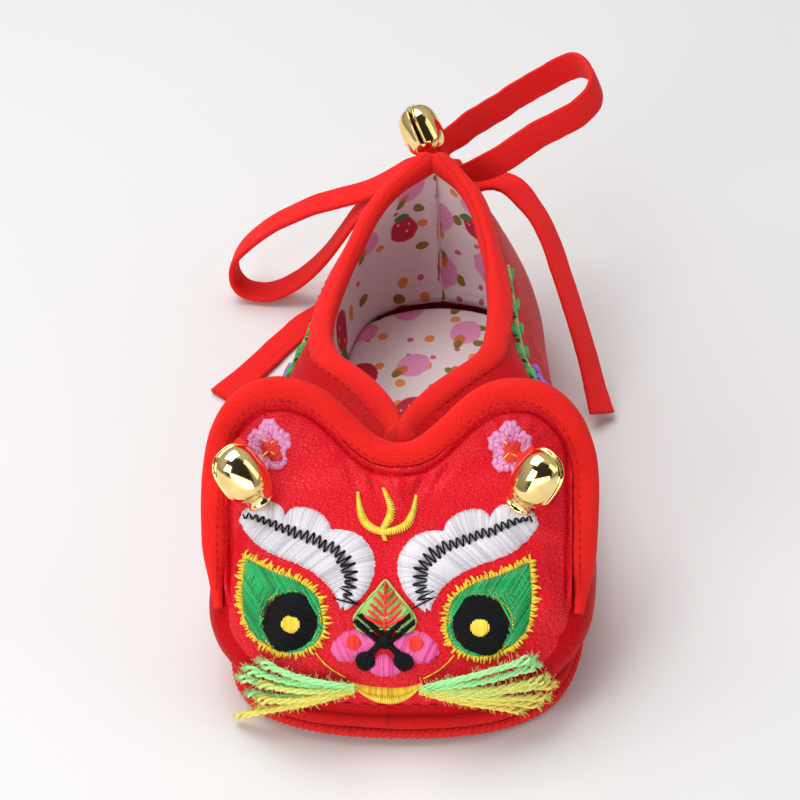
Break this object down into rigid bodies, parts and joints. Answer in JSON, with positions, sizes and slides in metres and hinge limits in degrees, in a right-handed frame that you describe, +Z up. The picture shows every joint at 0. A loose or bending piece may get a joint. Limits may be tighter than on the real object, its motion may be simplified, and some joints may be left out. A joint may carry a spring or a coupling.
{
  "type": "chinese tiger head shoe",
  "caption": "Baby's cloth tiger-head shoe: pasted cloth sole, red satin upper, padded embroidered tiger face with bells and yarn whiskers, and a tape bow at the heel.",
  "frame": {"origin": "middle of the sole's underside at the flat of the forefoot, on the floor", "axes": "-Y towards the toe, +Y towards the heel, +X to the right seen from the toe's side looking at the heel, +Z up"},
  "size_m": [0.0935, 0.1633, 0.0568],
  "materials": {
    "sole_cloth": "matte woven cotton",
    "sole_cord": "twisted cotton cord",
    "lining": "matte printed cotton",
    "satin": "satin sheen",
    "binding": "matte bias binding",
    "face_satin": "satin sheen, embroidered",
    "gilt": "polished gilt",
    "yarn": "soft wool yarn",
    "ribbon": "matte cotton tape"
  },
  "bodies": {
    "root": {"outsole": "sole_cloth", "sole_edge_cord": "sole_cord", "insole": "lining", "upper": "satin", "collar_binding": "binding", "face_panel": "face_satin", "face_binding": "binding", "ear_bell_left": "gilt", "ear_bell_right": "gilt", "ear_bell_cap_left": "gilt", "ear_bell_cap_right": "gilt", "heel_bell": "gilt", "whisker_tuft_left": "yarn", "whisker_tuft_right": "yarn", "tie_knot": "ribbon", "tie_loop_left": "ribbon", "tie_loop_right": "ribbon", "tie_tail_left": "ribbon", "tie_tail_right": "ribbon"}
  },
  "joints": []
}
